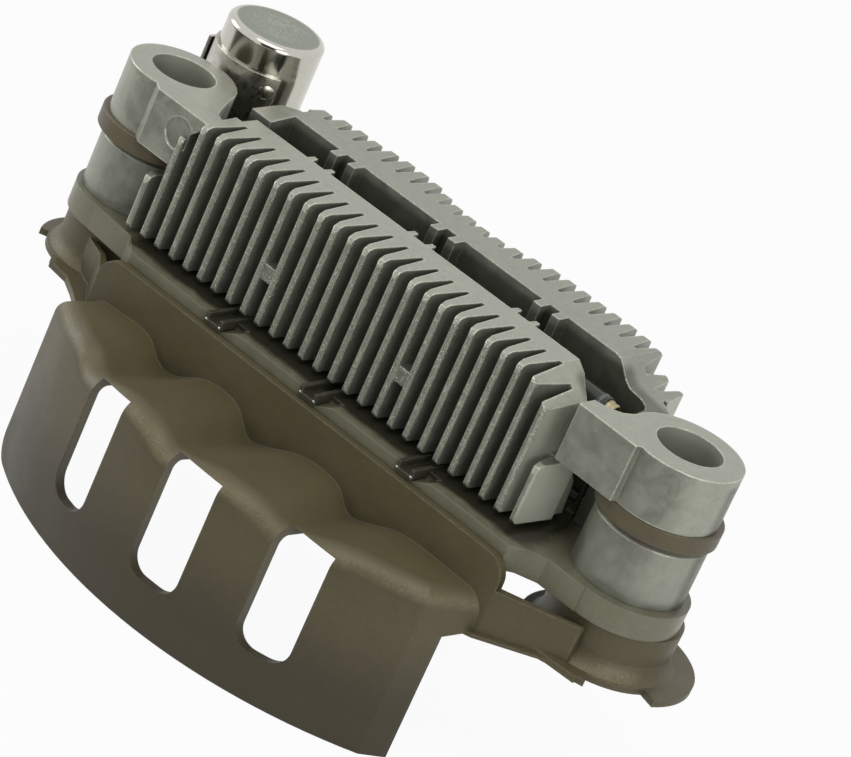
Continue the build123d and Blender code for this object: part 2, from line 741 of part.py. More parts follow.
right_ledge = [(56.0, -8.0), (64.0, -8.0), (65.0, -14.4), (62.4, -14.6), (58.6, -14.9), (56.0, -15.2)]
left_ledge = [
    (-43.6, -18.6), (-45.0, wall_front_y + 2.0), (-52.0, -9.0), (-58.0, -8.0), (-59.8, -13.6), (-54.9, -14.4),
    (-51.0, -17.0), (-47.6, -19.6),
]
skirt_hollow = hood(skirt_thickness, roof_thickness)
with BuildPart() as air_shroud:
    add(hood(0, 0))
    add(skirt_hollow, mode=Mode.SUBTRACT)
    # below the end walls, which rise towards the front wall, the skirt stands free
    with BuildPart(mode=Mode.SUBTRACT):
        with BuildSketch(level(skirt_bottom_z)):
            with Locations((skirt_centre_x, skirt_centre_y)):
                Circle(skirt_r - skirt_thickness)
        extrude(amount=end_wall_bottom_z + end_wall_rise - skirt_bottom_z)
        with BuildSketch(Plane.YZ.offset(wall_left_x - 10)):
            with BuildLine():
                Polyline(
                    (skirt_front_y, skirt_bottom_z), (skirt_front_y, end_wall_bottom_z),
                    (skirt_y(skirt_right_x, skirt_r), end_wall_bottom_z),
                    (wall_front_y, end_wall_bottom_z + end_wall_rise),
                    (wall_front_y + 20, end_wall_bottom_z + end_wall_rise),
                    (wall_front_y + 20, skirt_bottom_z), close=True,
                )
            make_face()
        extrude(amount=wall_right_x - wall_left_x + 20, mode=Mode.INTERSECT)
    # rounded lower corners
    with BuildSketch(Plane.XZ.offset(-wall_front_y + 1.0)):
        for end_x, out in ((skirt_left_x, -1), (skirt_right_x, 1)):
            arc_start = (end_x - out * skirt_corner_r, skirt_bottom_z)
            arc_end = (end_x, skirt_bottom_z + skirt_corner_r)
            with BuildLine():
                RadiusArc(arc_start, arc_end, -out * skirt_corner_r)
                Polyline(
                    arc_end, (end_x + out * 2, arc_end[1]), (end_x + out * 2, skirt_bottom_z - 1.0),
                    (arc_start[0], skirt_bottom_z - 1.0), arc_start,
                )
            make_face()
    extrude(amount=20, mode=Mode.SUBTRACT)
    # front wall
    with BuildSketch(Plane.XZ.offset(-wall_front_y - wall_thickness)) as wall_face:
        with Locations(((wall_left_x + wall_right_x) / 2, (wall_top_z + flange_bottom_z) / 2)):
            Rectangle(wall_right_x - wall_left_x, wall_top_z - flange_bottom_z)
        fillet(wall_face.vertices().sort_by(Axis.Y)[-2:], wall_corner_r)
    extrude(amount=wall_thickness)
    add(prism(left_web, flange_bottom_z, web_top_z))
    add(right_web(0, web_top_z - 1.0, web_top_z + 0.6))
    add(right_web(web_lip, web_foot_z + web_lip, collar_bottom_z))
    for ledge in (left_ledge, right_ledge):
        add(prism(ledge, flange_bottom_z, collar_bottom_z))
    # collars and their notched flanges
    with BuildSketch(level(flange_bottom_z)):
        for (x, y), r in flanges:
            with Locations((x, y)):
                Circle(r)
    extrude(amount=flange_thickness)
    with BuildSketch(level(flange_bottom_z)):
        for (centre, r), (first, last) in zip(collars, flange_notches):
            with BuildLine():
                inner = CenterArc(centre, r + collar_flare + 0.3, first, last - first)
                outer = CenterArc(centre, r + collar_flare + 8.0, first, last - first)
                Line(inner @ 0, outer @ 0)
                Line(inner @ 1, outer @ 1)
            make_face()
    extrude(amount=flange_thickness, mode=Mode.SUBTRACT)
    for centre, r in collars:
        with BuildSketch(level(collar_bottom_z)):
            with Locations(centre):
                Circle(r)
        extrude(amount=collar_height)
        with BuildSketch(Plane((*centre, collar_bottom_z), x_dir=(1, 0, 0), z_dir=(0, -1, 0))):
            with BuildLine():
                Line((r - 1, 0), (r + collar_flare, 0))
                foot = RadiusArc((r + collar_flare, 0), (r, collar_flare_height), collar_flare_height * 1.6)
                Polyline(foot @ 1, (r - 1, collar_flare_height), (r - 1, 0))
            make_face()
        revolve(axis=Axis((*centre, 0), (0, 0, 1)))
        with BuildSketch(level(flange_bottom_z)):
            with Locations(centre):
                Circle(r)
        extrude(amount=flange_thickness)
    with BuildSketch(level(flange_bottom_z)):
        with Locations((-hole_x, 0), (hole_x, 0)):
            Circle(bore_r)
    extrude(amount=board_bottom_z - flange_bottom_z, mode=Mode.SUBTRACT)
    for left, right in windows:
        add(window(left, right), mode=Mode.SUBTRACT)

# Suppression capacitor
with BuildPart() as capacitor_can:
    with BuildSketch(level(can_top_z - can_length)):
        with Locations((can_x, can_y)):
            Circle(can_r)
    extrude(amount=can_length)
    fillet(capacitor_can.faces().sort_by(Axis.Z)[-1].edges(), can_round)
    with BuildSketch(level(can_top_z - can_length)):
        with Locations((can_x, can_y)):
            Circle(can_r - 0.8)
    extrude(amount=seal_depth, mode=Mode.SUBTRACT)

with BuildPart() as capacitor_seal:
    with BuildSketch(level(can_top_z - can_length + 0.2)):
        with Locations((can_x, can_y)):
            Circle(can_r - 0.8)
            Circle(pin_r, mode=Mode.SUBTRACT)
    extrude(amount=seal_depth - 0.2)

with BuildPart() as capacitor_pin:
    with BuildSketch(level(board_bottom_z)):
        with Locations((can_x, can_y)):
            Circle(pin_r)
    extrude(amount=can_top_z - can_length + seal_depth - board_bottom_z)

with BuildPart() as capacitor_eyelet:
    with BuildSketch(level(board_top_z)):
        with Locations((can_x, can_y)):
            Circle(eyelet_r)
            Circle(pin_r, mode=Mode.SUBTRACT)
    extrude(amount=eyelet_height)

strap_inner_r = can_r
strap_outer_r = can_r + strap_thickness
strap_start = 190.0
strap_sweep = 138.0
leg_start = 306.0
leg_sweep = 22.0
foot_thickness = 0.8
foot_outline = [(-52.6, 12.6), (-50.0, 15.4), (-47.0, 12.2), (-46.6, 8.6), (-50.4, 7.4)]
tab_x = -66.85
tab_front_y = 15.4
tab_rear_y = can_y - 0.9
tab_top_z = 1.2
dimple_r = 1.2
dimple_z = -0.4
dimple_depth = 12
with BuildPart() as capacitor_strap:
    with BuildSketch(level(strap_bottom_z)):
        with BuildLine():
            inner = CenterArc((can_x, can_y), strap_inner_r, strap_start, strap_sweep)
            outer = CenterArc((can_x, can_y), strap_outer_r, strap_start, strap_sweep)
            Line(inner @ 0, outer @ 0)
            Line(inner @ 1, outer @ 1)
        make_face()
    extrude(amount=strap_top_z - strap_bottom_z)
    with BuildSketch(level(strap_bottom_z)):
        with Locations((tab_x, (tab_front_y + tab_rear_y) / 2)):
            Rectangle(strap_thickness, tab_rear_y - tab_front_y)
    extrude(amount=tab_top_z - strap_bottom_z)
    with BuildSketch(Plane((can_x, can_y, dimple_z), x_dir=(0.67, 0.74, 0), z_dir=(0.74, -0.67, 0))):
        Circle(dimple_r)
    extrude(amount=dimple_depth, mode=Mode.SUBTRACT)
    # leg and foot on the positive arm
    with BuildSketch(level(eye_top_z)):
        with BuildLine():
            inner = CenterArc((can_x, can_y), strap_inner_r, leg_start, leg_sweep)
            outer = CenterArc((can_x, can_y), strap_outer_r, leg_start, leg_sweep)
            Line(inner @ 0, outer @ 0)
            Line(inner @ 1, outer @ 1)
        make_face()
    extrude(amount=strap_bottom_z - eye_top_z)
    with BuildSketch(level(eye_top_z)):
        with BuildLine():
            Polyline(*foot_outline, close=True)
        make_face()
        with Locations((can_x, can_y)):
            Circle(strap_inner_r, mode=Mode.SUBTRACT)
        with Locations(rivet_place):
            Circle(rivet_shank_r, mode=Mode.SUBTRACT)
    extrude(amount=foot_thickness)

with BuildPart() as capacitor_rivet:
    with BuildSketch(level(eye_top_z + foot_thickness)):
        with Locations(rivet_place):
            Circle(rivet_r)
    extrude(amount=rivet_head_height)
    fillet(capacitor_rivet.faces().sort_by(Axis.Z)[-1].edges(), rivet_head_round)
    with BuildSketch(level(eye_top_z - rivet_depth)):
        with Locations(rivet_place):
            Circle(rivet_shank_r)
    extrude(amount=rivet_depth + foot_thickness)

# Screws that hold the terminal board to the sinks
screws = []
for x, y in [(x, neg_screw_y) for x in neg_screw_xs] + [(x, pos_screw_y) for x in pos_screw_xs]:
    with BuildPart() as screw:
        with BuildSketch(level(board_bottom_z - screw_head_height)):
            with Locations((x, y)):
                Circle(screw_head_r)
        extrude(amount=screw_head_height)
        fillet(screw.faces().sort_by(Axis.Z)[0].edges(), 0.6)
        with BuildSketch(level(board_bottom_z)):
            with Locations((x, y)):
                Circle(screw_r)
        extrude(amount=board_thickness + 6.5)
    screws.append(screw)

pieces = {
    "negative_heat_sink": negative_heat_sink,
    "positive_heat_sink": positive_heat_sink,
    "insulating_bush_left": bushes["left"],
    "insulating_bush_right": bushes["right"],
    "terminal_board": terminal_board,
    "air_shroud": air_shroud,
    "exciter_bus": exciter_bus,
    "capacitor_can": capacitor_can,
    "capacitor_seal": capacitor_seal,
    "capacitor_pin": capacitor_pin,
    "capacitor_eyelet": capacitor_eyelet,
    "capacitor_strap": capacitor_strap,
    "capacitor_rivet": capacitor_rivet,
}
pieces.update(diodes)
for number, terminal in enumerate(phase_terminals, 1):
    pieces[f"phase_terminal_{number}"] = terminal
for number, exciter in enumerate(exciter_diodes, 1):
    pieces[f"exciter_diode_{number}"] = exciter
for number, screw in enumerate(screws, 1):
    pieces[f"board_screw_{number}"] = screw

for name, piece in pieces.items():
    piece.part.label = name
    export_step(piece.part, f"parts/{name}.step")
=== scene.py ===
import json
import math

import bmesh
import bpy
from bpy.props import FloatProperty, FloatVectorProperty, PointerProperty
from mathutils import Matrix, Vector


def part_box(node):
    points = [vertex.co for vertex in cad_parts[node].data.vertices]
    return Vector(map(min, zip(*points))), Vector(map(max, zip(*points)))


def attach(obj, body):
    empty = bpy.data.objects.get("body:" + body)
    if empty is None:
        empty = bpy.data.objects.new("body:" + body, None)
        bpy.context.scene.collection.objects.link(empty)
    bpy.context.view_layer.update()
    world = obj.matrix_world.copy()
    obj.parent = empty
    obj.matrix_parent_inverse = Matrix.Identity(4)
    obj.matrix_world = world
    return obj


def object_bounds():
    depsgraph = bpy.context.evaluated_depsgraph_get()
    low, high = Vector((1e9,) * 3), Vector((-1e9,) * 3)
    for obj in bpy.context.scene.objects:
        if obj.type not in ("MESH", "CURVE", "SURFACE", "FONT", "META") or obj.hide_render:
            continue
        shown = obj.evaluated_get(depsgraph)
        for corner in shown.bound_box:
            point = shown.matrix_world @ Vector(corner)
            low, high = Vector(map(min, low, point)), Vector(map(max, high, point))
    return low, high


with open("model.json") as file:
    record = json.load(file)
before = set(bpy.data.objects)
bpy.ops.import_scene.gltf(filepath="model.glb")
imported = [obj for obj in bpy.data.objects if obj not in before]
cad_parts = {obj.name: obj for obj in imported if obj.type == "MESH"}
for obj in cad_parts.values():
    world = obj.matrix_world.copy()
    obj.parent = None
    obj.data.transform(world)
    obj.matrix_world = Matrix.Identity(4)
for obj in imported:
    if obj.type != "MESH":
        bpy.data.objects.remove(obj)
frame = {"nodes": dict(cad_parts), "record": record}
CAD_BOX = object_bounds()
NODES = frame["nodes"]

bl_info = {
    "name": "Alternator rectifier finishes",
    "version": (1, 0, 0),
    "blender": (4, 5, 0),
    "location": "View3D > Sidebar > Rectifier",
    "description": "Dresses the packed rectifier with castings, mouldings, tinned parts, solder and a studio",
    "category": "Object",
}

MM = 0.001

# Places on the castings, in the CAD's frame
BORE_X = 58.5 * MM
BORE_R = 5.8 * MM
FINS_LEFT_X = -46.5 * MM
FINS_RIGHT_X = 41.0 * MM
END_FACES_X = (39.5 * MM, 43.0 * MM)

# Places on the mouldings
SKIRT_BACK_Y = -16.0 * MM
SKIRT_FRONT_Y = -24.0 * MM
# How far along X, each way, the painted shade on the board's top reaches.
SHADE_UNDER_FINS_X = 44.0 * MM

# Phase terminals: the channel at the board's front edge and the post in the slot
CHANNEL_WIDTH = 3.8 * MM
CHANNEL_METAL = 0.7 * MM
CHANNEL_END = (0.3 * MM, 0.45 * MM)
CHANNEL_BEAD = (0.4 * MM, 0.45 * MM, 0.5 * MM)
POST_WIDTH = 2.0 * MM
POST_DEPTH = 1.9 * MM
SOLDER_SINK = 0.2 * MM
SOLDER_SIZE = (0.9 * MM, 0.85 * MM, 0.75 * MM)

# Exciter diodes: the body, its brass cap and its painted band
EXCITER_R = 2.0 * MM
EXCITER_END = 1.35 * MM
CAP_R = 1.5 * MM
CAP_LENGTH = 1.6 * MM
CAP_LIP = 0.12 * MM
CAP_METAL = 0.1 * MM
CAP_HOLE_R = 0.5 * MM
BAND_GAP = 1.5 * MM
BAND_WIDTH = 0.9 * MM
BAND_PAINT = 0.03 * MM

# The pressed dimple in the capacitor's strap
DIMPLE_Z = -0.4 * MM
DIMPLE_SIDE = (0.74, -0.67, 0.0)
DIMPLE_OUT = 0.25 * MM
DIMPLE_SIZE = (0.55 * MM, 1.6 * MM, 1.6 * MM)

# The photograph's camera
IMAGE_WIDTH = 851
FOCAL_PIXELS = 4349.03
SENSOR_WIDTH = 36.0
CAMERA_PLACE = (0.3353, -0.5699, 0.2692)
CAMERA_AZIMUTH = 0.51941
CAMERA_ELEVATION = 0.41343
CAMERA_ROLL = 0.42520

# The studio: each lamp's name, place, size and setting, and the cards that only reflections see
AIM = (0.0, 0.0, -0.03)
LAMPS = (
    ("light above", (0.1, -0.3, 0.95), 0.7, "key_watts"),
    ("light right", (0.9, -0.5, 0.3), 0.5, "right_watts"),
    ("light left", (-1.0, -0.25, 0.25), 0.5, "left_watts"),
    ("light front", (0.25, -1.2, 0.35), 0.9, "front_watts"),
)
FLOOR_HALF = 3.0
FLOOR_GAP = 0.2 * MM
CARD_PLACE = (0.62, -1.05, 0.42)
CARD_HALF = (0.5, 0.5)
CLOTH_Y = -0.33
CLOTH_LIFT = 1.0 * MM
CLOTH_HALF = (0.42, 0.25)

FLOAT_SOCKET = "NodeSocketFloat"


# Helpers for node trees


def fill(tree, socket, value):
    """Sets a socket to a value, or joins it to another node's output."""
    if isinstance(value, bpy.types.NodeSocket):
        tree.links.new(value, socket)
    elif isinstance(value, tuple) and len(value) == 3 and socket.type == "RGBA":
        socket.default_value = (*value, 1.0)
    else:
        socket.default_value = value


def node(tree, kind, sockets=None, **settings):
    """Adds a node with its settings and fills the named sockets."""
    made = tree.nodes.new(kind)
    for key, value in settings.items():
        setattr(made, key, value)
    for key, value in (sockets or {}).items():
        fill(tree, made.inputs[key], value)
    return made


def calc(tree, operation, *values, clamp=False):
    """A Math node's output."""
    made = node(tree, "ShaderNodeMath", operation=operation, use_clamp=clamp)
    for socket, value in zip(made.inputs, values):
        fill(tree, socket, value)
    return made.outputs[0]


def product(tree, first, *others):
    """Values multiplied together."""
    for value in others:
        first = calc(tree, "MULTIPLY", first, value)
    return first


def vector_calc(tree, operation, output, *values):
    """A Vector Math node's named output."""
    made = node(tree, "ShaderNodeVectorMath", operation=operation)
    for socket, value in zip(made.inputs, values):
        fill(tree, socket, value)
    return made.outputs[output]


def ramped(tree, value, low, high, low_to=0.0, high_to=1.0, kind="SMOOTHSTEP"):
    """A value mapped from one range to another and held at the ends."""
    sockets = {"Value": value, "From Min": low, "From Max": high, "To Min": low_to, "To Max": high_to}
    return node(tree, "ShaderNodeMapRange", sockets, interpolation_type=kind).outputs["Result"]


def band(tree, value, low, high, below, above):
    """A mask that is 1 from low to high and fades to 0 over a margin below and one above."""
    return product(tree, ramped(tree, value, low - below, low), ramped(tree, value, high + above, high))


def mixed(tree, amount, first, second):
    """Two colours mixed by an amount."""
    made = node(tree, "ShaderNodeMix", data_type="RGBA")
    fill(tree, made.inputs[0], amount)
    fill(tree, made.inputs[6], first)
    fill(tree, made.inputs[7], second)
    return made.outputs[2]


def layered(tree, colour, *layers):
    """A colour with others laid over it in turn, each by its own amount."""
    for amount, over in layers:
        colour = mixed(tree, amount, colour, over)
    return colour


def shaded(colour, factor):
    """A colour made darker or paler by a factor, up to white."""
    return tuple(min(1.0, c * factor) for c in colour)


def noise(tree, vector, scale, **sockets):
    """A Noise Texture's value."""
    return node(tree, "ShaderNodeTexNoise", {"Vector": vector, "Scale": scale, **sockets}).outputs["Fac"]


def object_place(tree):
    """Object coordinates, in metres."""
    return tree.nodes.new("ShaderNodeTexCoord").outputs["Object"]


def surface_normal(tree):
    """The direction that the surface faces."""
    return tree.nodes.new("ShaderNodeNewGeometry").outputs["Normal"]


def axes(tree, vector):
    """A vector's X, Y and Z."""
    return node(tree, "ShaderNodeSeparateXYZ", {"Vector": vector}).outputs


def stretched(tree, place, scale, location=(0.0, 0.0, 0.0)):
    """Coordinates scaled along each axis and then moved."""
    sockets = {"Vector": place, "Location": location, "Scale": scale}
    return node(tree, "ShaderNodeMapping", sockets).outputs["Vector"]


def bumped(tree, height, distance, normal=None):
    """The normal of a Bump node."""
    sockets = {"Height": height, "Distance": distance, "Strength": 1.0}
    if normal is not None:
        sockets["Normal"] = normal
    return node(tree, "ShaderNodeBump", sockets).outputs["Normal"]


def backdrop_rays(tree):
    """1 for the rays that see the plain pale background: the camera's and those of gloss and glass."""
    path = tree.nodes.new("ShaderNodeLightPath").outputs
    bent = calc(tree, "MAXIMUM", path["Is Glossy Ray"], path["Is Transmission Ray"])
    return calc(tree, "MAXIMUM", path["Is Camera Ray"], bent)


# Shader node groups that several materials share


def new_group(name, values, outputs):
    """An empty group that takes a vector and some values, with what it is given and what it puts out."""
    group = bpy.data.node_groups.new(name, "ShaderNodeTree")
    group.interface.new_socket("Vector", in_out="INPUT", socket_type="NodeSocketVector")
    for label, default in values.items():
        socket = group.interface.new_socket(label, in_out="INPUT", socket_type=FLOAT_SOCKET)
        socket.default_value = default
    for label, kind in outputs.items():
        group.interface.new_socket(label, in_out="OUTPUT", socket_type=kind)
    start = group.nodes.new("NodeGroupInput")
    end = group.nodes.new("NodeGroupOutput")
    return group, start.outputs, end.inputs


def grain_group():
    """Fine even grain over a coarser one, as blasted or die-cast metal and textured moulds have."""
    group, given, result = new_group("Fine grain", {"Scale": 3000.0, "Coarse": 0.4}, {"Grain": FLOAT_SOCKET})
    place = given["Vector"]
    coarse_scale = product(group, given["Scale"], 0.22)
    blend = node(group, "ShaderNodeMix", data_type="FLOAT")
    fill(group, blend.inputs[0], given["Coarse"])
    fill(group, blend.inputs[2], noise(group, place, given["Scale"], Detail=2.0, Roughness=0.6))
    fill(group, blend.inputs[3], noise(group, place, coarse_scale, Detail=3.0, Roughness=0.55))
    fill(group, result["Grain"], blend.outputs[0])
    return group


def mottle_group():
    """Slow, cloudy unevenness, from flow in the mould, handling and stains."""
    group, given, result = new_group("Mottle", {"Scale": 120.0, "Bend": 0.6}, {"Mottle": FLOAT_SOCKET})
    cloud = noise(
        group, given["Vector"], given["Scale"], Detail=5.0, Roughness=0.62, Distortion=given["Bend"]
    )
    fill(group, result["Mottle"], ramped(group, cloud, 0.3, 0.7))
    return group


def pits_group():
    """Sparse small round pits: a mask that is 1 in a pit."""
    values = {"Scale": 900.0, "Share": 0.3, "Radius": 0.28}
    group, given, result = new_group("Pits", values, {"Mask": FLOAT_SOCKET})
    sockets = {"Vector": given["Vector"], "Scale": given["Scale"]}
    cells = node(group, "ShaderNodeTexVoronoi", sockets).outputs
    pick = node(group, "ShaderNodeSeparateColor", {"Color": cells["Color"]}).outputs["Red"]
    chosen = calc(group, "LESS_THAN", pick, given["Share"])
    inner = product(group, given["Radius"], 0.45)
    hollow = ramped(group, cells["Distance"], inner, given["Radius"], 1.0, 0.0)
    fill(group, result["Mask"], product(group, chosen, hollow))
    return group


def edge_group():
    """Rounded normals at edges, and a broken mask of worn outer edges, with none in corners; the castings
    also paint highlights with this mask.
    """
    values = {"Radius": 0.3 * MM, "Broken": 0.4, "Scale": 700.0}
    outputs = {"Mask": FLOAT_SOCKET, "Normal": "NodeSocketVector"}
    group, given, result = new_group("Worn edges", values, outputs)
    rounded = node(group, "ShaderNodeBevel", {"Radius": given["Radius"]}, samples=6).outputs["Normal"]
    turned = vector_calc(group, "DOT_PRODUCT", "Value", rounded, surface_normal(group))
    edge = ramped(group, turned, 0.997, 0.9)
    breaks = ramped(group, noise(group, given["Vector"], given["Scale"]), 0.38, 0.62)
    kept = calc(group, "SUBTRACT", 1.0, product(group, given["Broken"], breaks))
    reach = product(group, given["Radius"], 5.0)
    sky = node(group, "ShaderNodeAmbientOcclusion", {"Distance": reach}, samples=3).outputs["AO"]
    worn = calc(group, "MULTIPLY", edge, kept, clamp=True)
    fill(group, result["Mask"], product(group, worn, ramped(group, sky, 0.55, 0.9)))
    fill(group, result["Normal"], rounded)
    return group


def grime_and_shade_group():
    """Darkening in corners and between fins from ambient occlusion: partly dirt, partly painted shade."""
    values = {"Reach": 2.0 * MM, "Scale": 300.0}
    group, given, result = new_group("Corner grime", values, {"Mask": FLOAT_SOCKET})
    sockets = {"Distance": given["Reach"]}
    sky = node(group, "ShaderNodeAmbientOcclusion", sockets, samples=4).outputs["AO"]
    uneven = ramped(group, noise(group, given["Vector"], given["Scale"]), 0.3, 0.7, 0.55, 1.0)
    closed = calc(group, "SUBTRACT", 1.0, sky)
    fill(group, result["Mask"], calc(group, "MULTIPLY", closed, uneven, clamp=True))
    return group


GROUP_MAKERS = {
    "Fine grain": grain_group,
    "Mottle": mottle_group,
    "Pits": pits_group,
    "Worn edges": edge_group,
    "Corner grime": grime_and_shade_group,
}


def effect(tree, name, vector, **values):
    """The outputs of a shared group, placed in a material with its own values."""
    group = bpy.data.node_groups.get(name) or GROUP_MAKERS[name]()
    made = node(tree, "ShaderNodeGroup", node_tree=group)
    for key, value in {"Vector": vector, **values}.items():
        fill(tree, made.inputs[key], value)
    return made.outputs


# Helpers for materials


def new_material(name):
    """A material with only a Principled BSDF and its output, with its tree and that shader's inputs."""
    material = bpy.data.materials.new(name)
    material.use_nodes = True
    tree = material.node_tree
    tree.nodes.clear()
    shader = tree.nodes.new("ShaderNodeBsdfPrincipled")
    node(tree, "ShaderNodeOutputMaterial", {"Surface": shader.outputs["BSDF"]})
    return material, tree, shader.inputs


def principled(material):
    """The inputs of a material's Principled BSDF."""
    return next(n for n in material.node_tree.nodes if n.type == "BSDF_PRINCIPLED").inputs


def opening_box(name):
    """The corners of an opening that the record states."""
    return next(gap["box_m"] for gap in frame["record"]["physics"]["openings"] if gap["name"] == name)


def dress(material, *names):
    """Gives CAD nodes a material in every slot they have."""
    for name in names:
        mesh = NODES[name].data
        if not mesh.materials:
            mesh.materials.append(material)
        for index in range(len(mesh.materials)):
            mesh.materials[index] = material


# Zones of the castings


def flash_zone(tree, spot):
    """The front edges of the negative sink's fins, where the mould's halves meet."""
    front_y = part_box("negative_heat_sink")[0][1]
    at_front = ramped(tree, spot["Y"], front_y + 1.2 * MM, front_y + 0.6 * MM)
    return product(tree, band(tree, spot["X"], FINS_LEFT_X, FINS_RIGHT_X, MM, MM), at_front)


def slot_shade_zone(tree, spot):
    """The walls of the slot between the sinks, below its mouth, where shade is painted dark."""
    low, high = opening_box("sink_slot")
    from_slot = calc(tree, "ABSOLUTE", calc(tree, "SUBTRACT", spot["Y"], (low[1] + high[1]) / 2))
    near = ramped(tree, from_slot, 9.0 * MM, 6.5 * MM)
    return product(tree, near, ramped(tree, spot["Z"], -0.6 * MM, -2.2 * MM))


def end_face_sheen_zone(tree, spot, facing):
    """The right-facing end faces at the right of the fins, where a pale sheen is painted."""
    to_right = ramped(tree, facing["X"], 0.55, 0.95)
    return product(tree, to_right, band(tree, spot["X"], *END_FACES_X, 2.5 * MM, 2.0 * MM))


def bore_light_zone(tree, place, facing):
    """The walls of the two bores, where paler colour is painted in as light."""
    both_sides = vector_calc(tree, "ABSOLUTE", "Vector", place)
    from_axis = stretched(tree, both_sides, (1.0, 1.0, 0.0), (-BORE_X, 0.0, 0.0))
    distance = vector_calc(tree, "LENGTH", "Value", from_axis)
    inside = ramped(tree, distance, BORE_R + 0.15 * MM, BORE_R + 0.05 * MM)
    return product(tree, inside, ramped(tree, calc(tree, "ABSOLUTE", facing["Z"]), 0.6, 0.3))


# Materials


def cast_metal(name, look, shade):
    """Die-cast aluminium: satin skin, rough flash on the fins' front edges, dirt and painted shade between
    the fins, painted highlights.
    """
    material, tree, shader = new_material(name)
    place = object_place(tree)
    spot = axes(tree, place)
    facing = axes(tree, surface_normal(tree))
    upright = stretched(tree, place, (1.0, 1.0, 0.3))
    grain = effect(tree, "Fine grain", place, Scale=2600.0, Coarse=0.5)["Grain"]
    mottle = effect(tree, "Mottle", place, Scale=260.0, Bend=0.8)["Mottle"]
    streaks = effect(tree, "Mottle", upright, Scale=620.0, Bend=0.4)["Mottle"]
    edges = effect(tree, "Worn edges", place, Radius=0.42 * MM, Broken=0.75, Scale=3600.0)
    grime_and_shade = effect(tree, "Corner grime", place, Reach=4.5 * MM, Scale=260.0)["Mask"]
    pits = effect(tree, "Pits", place, Scale=3200.0, Share=0.65, Radius=0.5)["Mask"]
    sparks = effect(tree, "Pits", place, Scale=2700.0, Share=0.3, Radius=0.45)["Mask"]
    ridges = flash_zone(tree, spot)
    flash = product(tree, pits, ridges)
    burrs_and_glints = product(tree, sparks, ridges)
    painted_sheen = end_face_sheen_zone(tree, spot, facing)
    painted_bore_light = bore_light_zone(tree, place, facing)
    # A factor below 1 darkens the whole colour as painted shade.
    base = shaded(look.metal_colour, shade)
    bright = shaded(base, look.edge_wear_and_highlight)
    soil_and_shade = tuple(look.grime_and_shade_colour)
    colour = layered(
        tree, mixed(tree, mottle, shaded(base, 0.86), shaded(base, 1.04)),
        (product(tree, streaks, 0.22), shaded(base, 1.3)),
        (ramped(tree, grain, 0.38, 0.62, 0.0, 0.25), shaded(base, 1.35)),
        # Dirt and painted shade deep between the fins.
        (product(tree, grime_and_shade, look.grime_and_shade), soil_and_shade),
        # Painted shade on the slot's walls.
        (product(tree, slot_shade_zone(tree, spot), 0.72), soil_and_shade),
        # Painted pale sheen on the right end faces.
        (product(tree, painted_sheen, 0.75), shaded(base, 1.9)),
        # Paler bore walls, painted light.
        (product(tree, painted_bore_light, 0.8), shaded(base, 1.1)),
        # Paler worn edges, with painted highlights on them.
        (product(tree, edges["Mask"], 0.9), bright),
        (product(tree, flash, 0.6), shaded(base, 0.35)),
        # Painted glints on the flash's raised specks.
        (product(tree, burrs_and_glints, 0.7), bright),
    )
    rough = ramped(tree, mottle, 0.0, 1.0, look.roughness - 0.05, look.roughness + 0.07)
    # Less metallic where the sheen and bore light are painted.
    sheen_and_bore_light = calc(tree, "MAXIMUM", painted_sheen, painted_bore_light)
    relief = calc(tree, "SUBTRACT", calc(tree, "ADD", grain, product(tree, burrs_and_glints, 2.0)), flash)
    fill(tree, shader["Base Color"], colour)
    fill(tree, shader["Roughness"], calc(tree, "SUBTRACT", rough, product(tree, edges["Mask"], 0.1)))
    fill(tree, shader["Metallic"], ramped(tree, sheen_and_bore_light, 0.0, 1.0, look.metallic, 0.25, "LINEAR"))
    fill(tree, shader["Normal"], bumped(tree, relief, 0.04 * MM, edges["Normal"]))
    return material


def moulded_plastic(name, colour, pale, roughness, scale=1.0, wear=0.6, reach=2.5 * MM, soil_and_shade=0.5):
    """A thermoset moulding: slightly cloudy colour, mould texture, corners darkened by dirt and painted
    shade, and rubbed edges.
    """
    material, tree, shader = new_material(name)
    place = object_place(tree)
    grain = effect(tree, "Fine grain", place, Scale=2600.0 * scale, Coarse=0.35)["Grain"]
    mottle = effect(tree, "Mottle", place, Scale=90.0 * scale, Bend=0.5)["Mottle"]
    edges = effect(tree, "Worn edges", place, Radius=0.4 * MM, Broken=0.75, Scale=1500.0)
    grime_and_shade = effect(tree, "Corner grime", place, Reach=reach, Scale=220.0)["Mask"]
    body = layered(
        tree, mixed(tree, mottle, shaded(colour, 0.95), shaded(colour, 1.06)),
        (ramped(tree, grain, 0.42, 0.62, 0.0, 0.3), shaded(colour, 1.45)),
        # Dirt and painted shade in corners and under overhangs.
        (product(tree, grime_and_shade, soil_and_shade), shaded(colour, 0.3)),
        (product(tree, edges["Mask"], wear), pale),
    )
    fill(tree, shader["Base Color"], body)
    fill(tree, shader["Roughness"], ramped(tree, mottle, 0.0, 1.0, roughness - 0.05, roughness + 0.05))
    shader["Specular IOR Level"].default_value = 0.4
    fill(tree, shader["Normal"], bumped(tree, grain, 0.03 * MM, edges["Normal"]))
    return material


